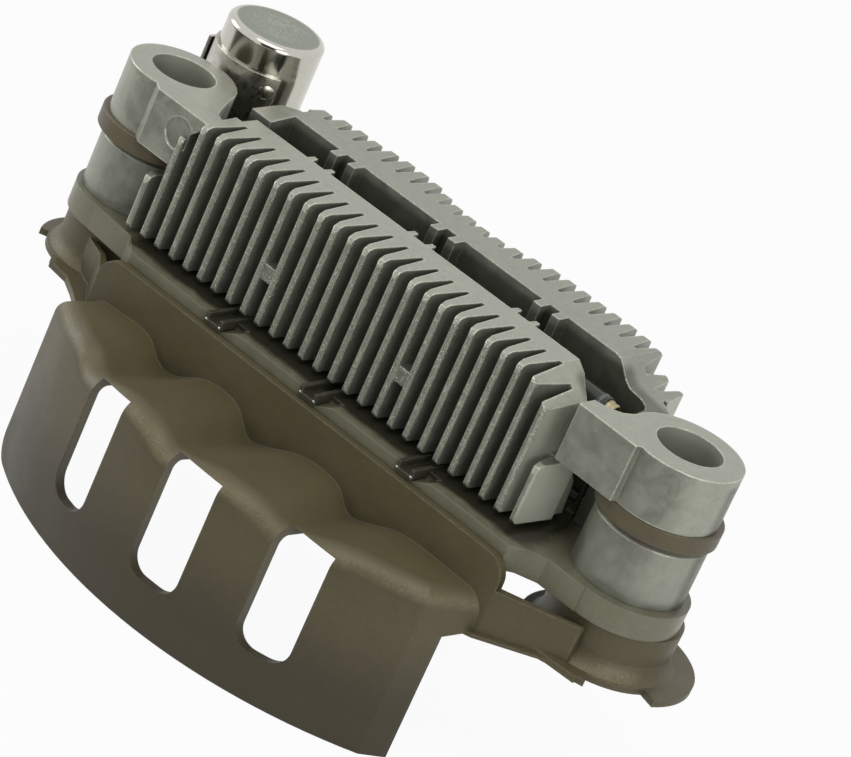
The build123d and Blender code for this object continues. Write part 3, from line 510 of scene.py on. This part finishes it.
def shroud_tones_and_highlights(material, colour, pale):
    """Makes the shroud's upward faces paler, paints a highlight with glinting specks along its fold and
    darkens the skirt towards its foot.
    """
    tree = material.node_tree
    shader = principled(material)
    low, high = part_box("air_shroud")
    place = object_place(tree)
    spot = axes(tree, place)
    facing = axes(tree, surface_normal(tree))
    upward = ramped(tree, facing["Z"], 0.25, 0.85)
    on_fold = band(tree, facing["Z"], 0.6, 0.6, 0.55, 0.35)
    fold = product(tree, on_fold, ramped(tree, facing["Y"], -0.2, -0.5))
    fold_glints = ramped(tree, noise(tree, place, 6200.0, Detail=2.0), 0.52, 0.68)
    cloud = effect(tree, "Mottle", place, Scale=150.0, Bend=0.4)["Mottle"]
    fold_highlight = product(tree, fold, ramped(tree, cloud, 0.0, 1.0, 0.25, 0.6))
    middle_z = (low[2] + high[2]) / 2
    foot = ramped(tree, spot["Z"], middle_z + 4.0 * MM, low[2] + 7.0 * MM)
    front_skin = product(tree, foot, ramped(tree, spot["Y"], SKIRT_BACK_Y, SKIRT_FRONT_Y))
    brown = (colour[0] * 0.34, colour[1] * 0.32, colour[2] * 0.32)
    body = layered(
        tree, shader["Base Color"].links[0].from_socket,
        (product(tree, upward, 0.45), shaded(colour, 1.5)),
        (product(tree, front_skin, 0.75), brown),
        # Painted highlight along the fold.
        (fold_highlight, shaded(colour, 1.9)),
        # Painted glinting specks along the fold.
        (product(tree, fold_highlight, fold_glints, 0.8), pale),
    )
    fill(tree, shader["Base Color"], body)


def shade_under_fins(material, colour):
    """Paints shade on the board's top from near its front edge to the fins, and makes that part glossier."""
    tree = material.node_tree
    shader = principled(material)
    board_top_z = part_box("terminal_board")[1][2]
    fins_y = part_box("negative_heat_sink")[0][1]
    place = object_place(tree)
    spot = axes(tree, place)
    wander = product(tree, calc(tree, "SUBTRACT", noise(tree, place, 160.0), 0.5), 3.0 * MM)
    along = calc(tree, "ABSOLUTE", calc(tree, "ADD", spot["X"], wander))
    across = calc(tree, "ADD", spot["Y"], wander)
    zone = product(
        tree,
        ramped(tree, along, SHADE_UNDER_FINS_X + 5.0 * MM, SHADE_UNDER_FINS_X),
        ramped(tree, across, fins_y - 3.2 * MM, fins_y - 0.8 * MM),
        ramped(tree, spot["Z"], board_top_z - 1.2 * MM, board_top_z - 0.5 * MM),
    )
    under = shader["Base Color"].links[0].from_socket
    under_rough = shader["Roughness"].links[0].from_socket
    fill(tree, shader["Base Color"], mixed(tree, zone, under, colour))
    fill(tree, shader["Roughness"], product(tree, under_rough, ramped(tree, zone, 0.0, 1.0, 1.0, 0.55)))


def bright_metal(name, colour, roughness, stain, grain_scale=1500.0, edge=1.3, bump=0.01 * MM):
    """A plated or bare wrought metal with faint handling marks and stains, and corners darkened by dirt and
    painted shade.
    """
    material, tree, shader = new_material(name)
    place = object_place(tree)
    grain = effect(tree, "Fine grain", place, Scale=grain_scale, Coarse=0.6)["Grain"]
    mottle = effect(tree, "Mottle", place, Scale=300.0, Bend=1.5)["Mottle"]
    edges = effect(tree, "Worn edges", place, Radius=0.18 * MM, Broken=0.3, Scale=900.0)
    grime_and_shade = effect(tree, "Corner grime", place, Reach=1.6 * MM, Scale=300.0)["Mask"]
    body = layered(
        tree, mixed(tree, product(tree, mottle, 0.35), colour, stain),
        # Dirt and painted shade in corners.
        (product(tree, grime_and_shade, 0.6), stain),
        (edges["Mask"], shaded(colour, edge)),
    )
    fill(tree, shader["Base Color"], body)
    fill(tree, shader["Roughness"], ramped(tree, mottle, 0.0, 1.0, roughness * 0.8, roughness * 1.3))
    shader["Metallic"].default_value = 1.0
    fill(tree, shader["Normal"], bumped(tree, grain, bump, edges["Normal"]))
    return material


def can_metal(look):
    """The capacitor's drawn tin-plated can: mirror-bright wall, satin embossed lid, bright rim."""
    material, tree, shader = new_material("tinned can")
    place = object_place(tree)
    low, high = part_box("capacitor_can")
    radius = (high[0] - low[0]) / 2
    centre = (-(low[0] + high[0]) / 2, -(low[1] + high[1]) / 2, 0.0)
    from_axis = vector_calc(tree, "LENGTH", "Value", stretched(tree, place, (1.0, 1.0, 0.0), centre))
    lid = product(
        tree,
        ramped(tree, axes(tree, place)["Z"], high[2] - 0.5 * MM, high[2] - 0.2 * MM),
        ramped(tree, from_axis, radius - 1.0 * MM, radius - 1.5 * MM),
    )
    grain = effect(tree, "Fine grain", place, Scale=1800.0, Coarse=0.6)["Grain"]
    mottle = effect(tree, "Mottle", place, Scale=380.0, Bend=2.2)["Mottle"]
    stamped = effect(tree, "Mottle", place, Scale=620.0, Bend=2.5)["Mottle"]
    middle = ramped(tree, from_axis, radius * 0.72, radius * 0.5)
    emboss = product(tree, lid, middle, ramped(tree, stamped, 0.42, 0.58))
    tin = tuple(look.tin_colour)
    body = layered(
        tree, mixed(tree, product(tree, mottle, 0.2), tin, shaded(tin, 0.72)),
        (lid, tuple(look.lid_colour)),
        (product(tree, emboss, 0.5), shaded(look.lid_colour, 1.5)),
    )
    fill(tree, shader["Base Color"], body)
    fill(tree, shader["Roughness"], calc(tree, "ADD", look.tin_roughness, product(tree, lid, 0.24)))
    shader["Metallic"].default_value = 1.0
    fill(tree, shader["Normal"], bumped(tree, emboss, 0.3 * MM, bumped(tree, grain, 0.008 * MM)))
    return material


def floor_paper(look):
    """The pale floor: white to the camera and to reflections, with the object's shadow kept."""
    material, tree, shader = new_material("floor")
    shader["Base Color"].default_value = (*look.floor_colour, 1.0)
    shader["Roughness"].default_value = 0.9
    shader["Specular IOR Level"].default_value = 0.1
    out = next(n for n in tree.nodes if n.type == "OUTPUT_MATERIAL")
    paper = out.inputs["Surface"].links[0].from_socket
    glow = node(tree, "ShaderNodeEmission", {"Color": (1.0, 1.0, 1.0), "Strength": 1.0})
    mix = tree.nodes.new("ShaderNodeMixShader")
    fill(tree, mix.inputs[0], product(tree, backdrop_rays(tree), look.whiteness))
    fill(tree, mix.inputs[1], paper)
    fill(tree, mix.inputs[2], glow.outputs["Emission"])
    fill(tree, out.inputs["Surface"], mix.outputs["Shader"])
    return material


def dark_paper():
    """Dull dark brown paper for the cards that darken reflections."""
    material, tree, shader = new_material("dark paper")
    shader["Base Color"].default_value = (0.045, 0.038, 0.025, 1.0)
    shader["Roughness"].default_value = 0.9
    return material


# Helpers for new pieces


def new_object(name, mesh_edit, material):
    """Turns a bmesh into an object of the scene with one material."""
    mesh = bpy.data.meshes.new(name)
    mesh_edit.to_mesh(mesh)
    mesh_edit.free()
    mesh.materials.append(material)
    made = bpy.data.objects.new(name, mesh)
    bpy.context.scene.collection.objects.link(made)
    return made


def finish_piece(name, mesh_edit, material, smooth=True):
    """Turns a bmesh into a piece that rides on the part, with its normals outwards."""
    bmesh.ops.remove_doubles(mesh_edit, verts=mesh_edit.verts, dist=1e-7)
    bmesh.ops.recalc_face_normals(mesh_edit, faces=mesh_edit.faces)
    for face in mesh_edit.faces:
        face.smooth = smooth
    piece = new_object(name, mesh_edit, material)
    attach(piece, "root")


def turned_ring(centre, profile, steps=32):
    """A closed profile of radii and places along X, in metres, spun round the X axis through centre."""
    mesh_edit = bmesh.new()
    axis = Vector((1.0, 0.0, 0.0))
    out = axis.orthogonal().normalized()
    verts = [mesh_edit.verts.new(Vector(centre) + out * r + axis * along) for r, along in profile]
    edges = [mesh_edit.edges.new((a, b)) for a, b in zip(verts, verts[1:] + verts[:1])]
    bmesh.ops.spin(
        mesh_edit, geom=verts + edges, cent=centre, axis=axis, angle=math.tau, steps=steps, use_merge=True
    )
    return mesh_edit


def bead(mesh_edit, centre, size, segments=12, turn=0.0):
    """A flattened drop, such as solder, turned about the upright axis."""
    place = Matrix.Translation(centre) @ Matrix.Rotation(turn, 4, "Z") @ Matrix.Diagonal((*size, 1.0))
    bmesh.ops.create_uvsphere(
        mesh_edit, u_segments=segments, v_segments=segments // 2 + 2, radius=1.0, matrix=place
    )


# What a user may change


def colour_setting(name, description, default):
    """A colour property."""
    return FloatVectorProperty(
        name=name, description=description, default=default, subtype="COLOR", size=3, min=0, max=1
    )


def share_setting(name, description, default):
    """A property from 0 to 1."""
    return FloatProperty(
        name=name, description=description, default=default, min=0, max=1, subtype="FACTOR"
    )


def power_setting(name, description, default):
    """A lamp's power."""
    return FloatProperty(name=name, description=description, default=default, min=0, unit="POWER")


class SinkLook(bpy.types.PropertyGroup):
    """Colours and finish of the cast heat sinks."""

    metal_colour: colour_setting("Casting", "Colour of the cast aluminium", (0.345, 0.355, 0.295))
    # Colour and amount of the dirt and painted shade in corners, between the fins and in the slot.
    grime_and_shade_colour: colour_setting("Grime_and_shade", "Colour of the grime between the fins", (0.085, 0.084, 0.055))
    grime_and_shade: share_setting("Grime amount", "How dark the corners are", 0.55)
    # Edge brightness pales the castings' worn edges and paints highlights on them and on the flash's raised
    # specks.
    edge_wear_and_highlight: FloatProperty(
        name="Edge brightness", description="How much paler worn edges are", default=2.5, min=1, max=3
    )
    roughness: share_setting("Roughness", "Roughness of the cast skin", 0.4)
    metallic: share_setting("Metallic", "How metallic the skin is", 0.64)


class MouldingLook(bpy.types.PropertyGroup):
    """Colours of the shroud, the board and the bushes."""

    shroud_colour: colour_setting("Shroud", "Colour of the air shroud", (0.090, 0.076, 0.038))
    board_colour: colour_setting("Board", "Colour of the terminal board", (0.17, 0.165, 0.11))
    bush_colour: colour_setting("Bushes", "Colour of the insulating bushes", (0.105, 0.088, 0.052))
    edge_colour: colour_setting("Rubbed edge", "Colour of a moulding's rubbed edges", (0.21, 0.185, 0.125))


class CapacitorLook(bpy.types.PropertyGroup):
    """Finish of the suppression capacitor."""

    tin_colour: colour_setting("Tin", "Colour of the plated wall", (0.54, 0.53, 0.47))
    lid_colour: colour_setting("Lid", "Colour of the satin lid", (0.24, 0.26, 0.215))
    tin_roughness: share_setting("Wall roughness", "Roughness of the plated wall", 0.15)


class StageLook(bpy.types.PropertyGroup):
    """The studio round the part."""

    floor_colour: colour_setting("Floor", "Colour of the paper floor", (0.86, 0.86, 0.86))
    whiteness: share_setting("Whiteness", "How far the camera sees the floor as plain white", 0.94)
    key_watts: power_setting("Key light", "Power of the light above", 2.8)
    front_watts: power_setting("Front light", "Power of the light in front", 1.5)
    left_watts: power_setting("Left light", "Power of the light at the left", 2.8)
    right_watts: power_setting("Right light", "Power of the light at the right", 2.8)
    ambient: FloatProperty(
        name="Ambient", description="Strength of the light all round", default=0.32, min=0, max=2
    )


class RectifierLook(bpy.types.PropertyGroup):
    """Everything that a user may change."""

    sinks: PointerProperty(type=SinkLook, name="Heat sinks", description="The two castings")
    mouldings: PointerProperty(
        type=MouldingLook, name="Mouldings", description="Shroud, board and bushes"
    )
    capacitor: PointerProperty(
        type=CapacitorLook, name="Capacitor", description="The suppression capacitor"
    )
    stage: PointerProperty(type=StageLook, name="Stage", description="Floor, light and camera")


# Operators, one for each piece or group of like pieces


class RECTIFIER_OT_heat_sinks(bpy.types.Operator):
    """Finish both heat sinks as die-cast aluminium"""

    bl_idname = "rectifier.heat_sinks"
    bl_label = "Finish heat sinks"

    def execute(self, context):
        look = context.scene.rectifier_look.sinks
        dress(cast_metal("cast aluminium", look, 1.0), "negative_heat_sink")
        # The positive sink's copy of the casting is darkened all over as painted shade.
        dress(cast_metal("cast aluminium, darker", look, 0.86), "positive_heat_sink")
        return {"FINISHED"}


class RECTIFIER_OT_mouldings(bpy.types.Operator):
    """Finish the air shroud, the terminal board and the bushes as moulded plastic"""

    bl_idname = "rectifier.mouldings"
    bl_label = "Finish mouldings"

    def execute(self, context):
        look = context.scene.rectifier_look.mouldings
        pale = tuple(look.edge_colour)
        colour = tuple(look.shroud_colour)
        shroud = moulded_plastic(
            "shroud moulding", colour, pale, 0.46, wear=0.75, reach=5.0 * MM, soil_and_shade=0.7
        )
        # The pale colour of the fold's painted glints.
        shroud_tones_and_highlights(shroud, colour, (0.42, 0.40, 0.32))
        dress(shroud, "air_shroud")
        colour = tuple(look.board_colour)
        board = moulded_plastic("board moulding", colour, pale, 0.34, scale=1.3, reach=6.0 * MM, soil_and_shade=0.9)
        # Painted shade on the board's top under the fins.
        shade_under_fins(board, shaded(colour, 0.18))
        dress(board, "terminal_board")
        bushes = moulded_plastic(
            "bush moulding", tuple(look.bush_colour), pale, 0.45, scale=1.5, wear=0.3
        )
        dress(bushes, "insulating_bush_left", "insulating_bush_right")
        return {"FINISHED"}


class RECTIFIER_OT_diodes(bpy.types.Operator):
    """Finish the twelve rectifier diodes and the three exciter diodes"""

    bl_idname = "rectifier.diodes"
    bl_label = "Finish diodes"

    def execute(self, context):
        resin = moulded_plastic(
            "diode resin", (0.03, 0.032, 0.028), (0.09, 0.09, 0.08), 0.45, scale=2.0, wear=0.5
        )
        dress(resin, *[f"{sink}_diode_{i}" for sink in ("negative", "positive") for i in range(1, 7)])
        glass = moulded_plastic(
            "exciter diode body", (0.035, 0.045, 0.03), (0.1, 0.11, 0.08), 0.2, scale=2.0, wear=0.3
        )
        dress(glass, *[f"exciter_diode_{i}" for i in (1, 2, 3)])
        brass = bright_metal("brass end cap", (0.42, 0.37, 0.23), 0.3, (0.1, 0.085, 0.045), edge=1.4)
        paint = moulded_plastic(
            "polarity band", (0.30, 0.31, 0.29), (0.4, 0.4, 0.38), 0.35, scale=2.0, wear=0.3
        )
        inner_r = CAP_R - CAP_METAL
        for number in (1, 2, 3):
            low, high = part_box(f"exciter_diode_{number}")
            end_x = high[0] - EXCITER_END
            cap_x = end_x - CAP_LENGTH
            band_x = cap_x - BAND_GAP
            centre = (0.0, low[1] + EXCITER_R, high[2] - EXCITER_R)
            cap = turned_ring(centre, [
                (inner_r, cap_x), (CAP_R + 2 * CAP_LIP, cap_x),
                (CAP_R + 2 * CAP_LIP, end_x - 0.7 * CAP_LENGTH), (CAP_R + CAP_LIP, end_x - 0.6 * CAP_LENGTH),
                (CAP_R + CAP_LIP, end_x - CAP_LIP), (CAP_R - CAP_LIP, end_x + CAP_LIP),
                (CAP_HOLE_R, end_x + CAP_LIP), (CAP_HOLE_R, end_x - CAP_LIP), (inner_r, end_x - CAP_LIP),
            ])
            finish_piece(f"exciter_cap_{number}", cap, brass, smooth=False)
            ring = turned_ring(centre, [
                (EXCITER_R - BAND_PAINT, band_x), (EXCITER_R + BAND_PAINT, band_x),
                (EXCITER_R + BAND_PAINT, band_x + BAND_WIDTH), (EXCITER_R - BAND_PAINT, band_x + BAND_WIDTH),
            ])
            finish_piece(f"exciter_band_{number}", ring, paint)
        return {"FINISHED"}


class RECTIFIER_OT_conductors(bpy.types.Operator):
    """Finish the phase terminals and the exciter bus"""

    bl_idname = "rectifier.conductors"
    bl_label = "Finish conductors"

    def execute(self, context):
        # The terminals and the bus are coloured near black, as painted shade and dark reflection.
        metal = moulded_plastic(
            "lacquered brass", (0.05, 0.05, 0.034), (0.2, 0.2, 0.16), 0.22, scale=1.5, wear=0.5
        )
        dress(metal, *[f"phase_terminal_{i}" for i in (1, 2, 3)], "exciter_bus")
        tin = bright_metal("tin", (0.5, 0.5, 0.45), 0.2, (0.12, 0.12, 0.09), edge=1.4)
        for number in (1, 2, 3):
            low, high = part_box(f"phase_terminal_{number}")
            right_x = high[0] - CHANNEL_METAL / 2
            rolled = bmesh.new()
            for x in (right_x, right_x - (CHANNEL_WIDTH - CHANNEL_METAL)):
                bead(rolled, (x, low[1] + CHANNEL_END[0], low[2] + CHANNEL_END[1]), CHANNEL_BEAD)
            finish_piece(f"terminal_ends_{number}", rolled, tin)
            solder = bmesh.new()
            post = (low[0] + POST_WIDTH / 2, high[1] - POST_DEPTH / 2, high[2] - SOLDER_SINK)
            bead(solder, post, SOLDER_SIZE, 20)
            finish_piece(f"solder_{number}", solder, tin)
        return {"FINISHED"}


class RECTIFIER_OT_capacitor(bpy.types.Operator):
    """Finish the suppression capacitor, its strap, seal, pin and rivet"""

    bl_idname = "rectifier.capacitor"
    bl_label = "Finish capacitor"

    def execute(self, context):
        look = context.scene.rectifier_look.capacitor
        dress(can_metal(look), "capacitor_can")
        strap = bright_metal(
            "strap tin plate", tuple(look.tin_colour), 0.28, (0.2, 0.19, 0.15), 1200.0, bump=0.006 * MM
        )
        dress(strap, "capacitor_strap")
        low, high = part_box("capacitor_can")
        middle = Vector(((low[0] + high[0]) / 2, (low[1] + high[1]) / 2, DIMPLE_Z))
        side = Vector(DIMPLE_SIDE).normalized()
        radius = (high[0] - low[0]) / 2
        dimple = bmesh.new()
        place = middle + side * (radius + DIMPLE_OUT)
        bead(dimple, place, DIMPLE_SIZE, 24, math.atan2(side.y, side.x))
        finish_piece("strap_dimple", dimple, strap)
        steel = bright_metal("zinc plated steel", (0.5, 0.5, 0.47), 0.28, (0.2, 0.19, 0.16))
        dress(steel, "capacitor_pin", "capacitor_eyelet", "capacitor_rivet")
        rubber = moulded_plastic(
            "seal rubber", (0.03, 0.03, 0.03), (0.08, 0.08, 0.08), 0.6, scale=1.5, wear=0.4
        )
        dress(rubber, "capacitor_seal")
        return {"FINISHED"}


class RECTIFIER_OT_screws(bpy.types.Operator):
    """Finish the four board screws"""

    bl_idname = "rectifier.screws"
    bl_label = "Finish screws"

    def execute(self, context):
        steel = bright_metal("screw steel", (0.45, 0.45, 0.43), 0.3, (0.16, 0.15, 0.12))
        dress(steel, *[f"board_screw_{i}" for i in (1, 2, 3, 4)])
        return {"FINISHED"}


# Floor, cards, lights and camera


def paper_floor(look):
    """The floor, just under the part."""
    sheet = bmesh.new()
    place = Matrix.Translation((0, 0, CAD_BOX[0][2] - FLOOR_GAP))
    bmesh.ops.create_grid(sheet, x_segments=1, y_segments=1, size=FLOOR_HALF, matrix=place)
    new_object("floor", sheet, floor_paper(look))


def reflection_card(name, place, half, material):
    """A card that only reflections see, centred and turned by a matrix."""
    sheet = bmesh.new()
    bmesh.ops.create_grid(sheet, x_segments=1, y_segments=1, size=1.0)
    bmesh.ops.scale(sheet, vec=(*half, 1.0), verts=sheet.verts)
    bmesh.ops.transform(sheet, matrix=place, verts=sheet.verts)
    card = new_object(name, sheet, material)
    card.visible_camera = False
    card.visible_diffuse = False
    card.visible_shadow = False


def soft_lamp(name, place, size, watts):
    """A square area lamp that faces the part."""
    data = bpy.data.lights.new(name, "AREA")
    data.size = size
    data.energy = watts
    lamp = bpy.data.objects.new(name, data)
    lamp.location = place
    lamp.rotation_euler = (Vector(AIM) - Vector(place)).to_track_quat("-Z", "Y").to_euler()
    bpy.context.scene.collection.objects.link(lamp)
    return lamp


def studio_world(look):
    """Even light all round, which the camera and reflections see as plain white."""
    world = bpy.data.worlds.new("studio")
    world.use_nodes = True
    tree = world.node_tree
    tree.nodes.clear()
    strength = ramped(tree, backdrop_rays(tree), 0.0, 1.0, look.ambient, 1.0, "LINEAR")
    sky = node(tree, "ShaderNodeBackground", {"Color": (1.0, 1.0, 1.0), "Strength": strength})
    node(tree, "ShaderNodeOutputWorld", {"Surface": sky.outputs["Background"]})
    return world


def photograph_camera():
    """The camera at the photograph's angle, distance and roll."""
    sin_a, cos_a = math.sin(CAMERA_AZIMUTH), math.cos(CAMERA_AZIMUTH)
    sin_e, cos_e = math.sin(CAMERA_ELEVATION), math.cos(CAMERA_ELEVATION)
    sin_r, cos_r = math.sin(CAMERA_ROLL), math.cos(CAMERA_ROLL)
    back = Vector((sin_a * cos_e, -cos_a * cos_e, sin_e))
    level_right = Vector((cos_a, sin_a, 0.0))
    level_up = back.cross(level_right)
    right = cos_r * level_right + sin_r * level_up
    up = -sin_r * level_right + cos_r * level_up
    turn = Matrix((right, up, back)).transposed().to_4x4()
    data = bpy.data.cameras.new("photograph camera")
    data.sensor_fit = "HORIZONTAL"
    data.sensor_width = SENSOR_WIDTH
    data.lens = FOCAL_PIXELS / IMAGE_WIDTH * SENSOR_WIDTH
    data.clip_start = 0.05
    data.clip_end = 20.0
    camera = bpy.data.objects.new("photograph camera", data)
    camera.matrix_world = Matrix.Translation(CAMERA_PLACE) @ turn
    bpy.context.scene.collection.objects.link(camera)
    bpy.context.scene.camera = camera


class RECTIFIER_OT_stage(bpy.types.Operator):
    """Set up the pale floor, the soft studio light and the camera"""

    bl_idname = "rectifier.stage"
    bl_label = "Set up stage"

    def execute(self, context):
        look = context.scene.rectifier_look.stage
        scene = context.scene
        scene.view_settings.view_transform = "Standard"
        paper_floor(look)
        lamps = [soft_lamp(name, place, size, getattr(look, watts)) for name, place, size, watts in LAMPS]
        lamps[-1].visible_glossy = False
        dark = dark_paper()
        card_place = Vector(CARD_PLACE)
        turn = (card_place - Vector(AIM)).to_track_quat("Z", "Y").to_matrix().to_4x4()
        reflection_card("dark_card", Matrix.Translation(card_place) @ turn, CARD_HALF, dark)
        cloth_place = (0.0, CLOTH_Y, CAD_BOX[0][2] + CLOTH_LIFT)
        reflection_card("dark_cloth", Matrix.Translation(cloth_place), CLOTH_HALF, dark)
        scene.world = studio_world(look)
        photograph_camera()
        return {"FINISHED"}


class RECTIFIER_PT_panel(bpy.types.Panel):
    """The rectifier's finishes, in the 3D view's sidebar"""

    bl_idname = "RECTIFIER_PT_panel"
    bl_label = "Rectifier"
    bl_space_type = "VIEW_3D"
    bl_region_type = "UI"
    bl_category = "Rectifier"

    def draw(self, context):
        look = context.scene.rectifier_look
        for group in (look.sinks, look.mouldings, look.capacitor, look.stage):
            box = self.layout.box()
            for key in group.__annotations__:
                box.prop(group, key)
        for operator in OPERATORS:
            self.layout.operator(operator.bl_idname)


OPERATORS = (
    RECTIFIER_OT_heat_sinks,
    RECTIFIER_OT_mouldings,
    RECTIFIER_OT_diodes,
    RECTIFIER_OT_conductors,
    RECTIFIER_OT_capacitor,
    RECTIFIER_OT_screws,
    RECTIFIER_OT_stage,
)
LOOKS = (SinkLook, MouldingLook, CapacitorLook, StageLook, RectifierLook)
CLASSES = (*LOOKS, *OPERATORS, RECTIFIER_PT_panel)


def register():
    for item in CLASSES:
        bpy.utils.register_class(item)
    bpy.types.Scene.rectifier_look = PointerProperty(type=RectifierLook)


def unregister():
    del bpy.types.Scene.rectifier_look
    for item in reversed(CLASSES):
        bpy.utils.unregister_class(item)


def main():
    register()
    bpy.ops.rectifier.heat_sinks()
    bpy.ops.rectifier.mouldings()
    bpy.ops.rectifier.diodes()
    bpy.ops.rectifier.conductors()
    bpy.ops.rectifier.capacitor()
    bpy.ops.rectifier.screws()
    bpy.ops.rectifier.stage()


if __name__ == "__main__":
    main()
